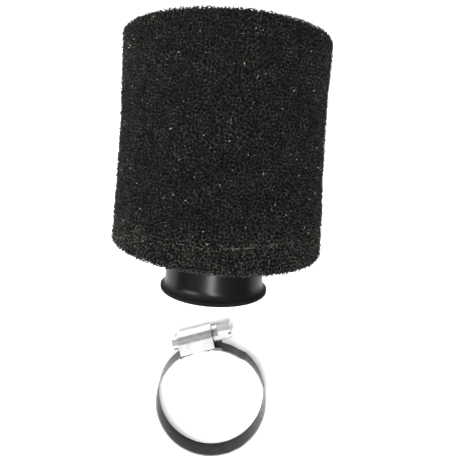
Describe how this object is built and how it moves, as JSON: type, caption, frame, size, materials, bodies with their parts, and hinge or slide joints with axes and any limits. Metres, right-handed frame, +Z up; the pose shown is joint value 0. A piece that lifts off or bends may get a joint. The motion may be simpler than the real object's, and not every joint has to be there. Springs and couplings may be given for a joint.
{
  "type": "air filter",
  "caption": "Clamp-on foam air filter: waisted open-cell foam body, rubber neck with a lipped mouth, and its loose worm-drive hose clamp.",
  "frame": {"origin": "centre of the neck's mouth, on the filter's axis", "axes": "+Y along the filter's axis from the mouth into the foam, +Z up from the surface that the filter and the clamp lie on, X across the filter"},
  "size_m": [0.092, 0.2179, 0.092],
  "materials": {
    "foam": "open-cell foam, matt",
    "rubber": "moulded, satin",
    "glue": "cured contact cement",
    "spring_wire": "drawn wire",
    "band_steel": "rolled strip, plated",
    "plated_steel": "bright zinc plate"
  },
  "bodies": {
    "filter": {"rubber_neck": "rubber", "foam_base_ring": "foam", "foam_sleeve": "foam", "foam_top_plug": "foam", "sleeve_seam_glue": "glue", "neck_flange_glue": "glue", "base_ring_glue": "glue", "top_plug_glue": "glue", "support_spring": "spring_wire"},
    "clamp": {"clamp_band_root": "band_steel", "clamp_housing": "plated_steel", "clamp_saddle": "plated_steel"},
    "screw": {"clamp_screw": "plated_steel"},
    "band_right": {"clamp_band_right": "band_steel"},
    "band_left": {"clamp_band_left": "band_steel"},
    "band_tongue": {"clamp_band_tongue": "band_steel"}
  },
  "joints": [
    {"name": "clamp_lift", "type": "slide", "parent": "filter", "child": "clamp", "axis": [0, 0, 1], "range_m": [0, 0.06]},
    {"name": "screw_turn", "type": "hinge", "parent": "clamp", "child": "screw", "pos_m": [-0.00779, -0.0419, -0.04009], "axis": [-0.9542, -0.299, 0], "range_deg": [0, 1080]},
    {"name": "band_close_right", "type": "hinge", "parent": "clamp", "child": "band_right", "pos_m": [0.02196, -0.05272, -0.04051], "axis": [-0.0067, 0.0213, -0.9998], "range_deg": [0, 5.86]},
    {"name": "band_close_low", "type": "hinge", "parent": "band_right", "child": "band_left", "pos_m": [0.01337, -0.10095, -0.04148], "axis": [-0.0067, 0.0213, -0.9998], "range_deg": [0, 5.86]},
    {"name": "band_close_left", "type": "hinge", "parent": "band_left", "child": "band_tongue", "pos_m": [-0.02672, -0.07278, -0.04062], "axis": [-0.0067, 0.0213, -0.9998], "range_deg": [0, 5.86]}
  ],
  "couplings": [
    {"joint": "band_close_right", "follows": "screw_turn", "ratio": 0.0054134},
    {"joint": "band_close_low", "follows": "screw_turn", "ratio": 0.0054134},
    {"joint": "band_close_left", "follows": "screw_turn", "ratio": 0.0054134}
  ]
}
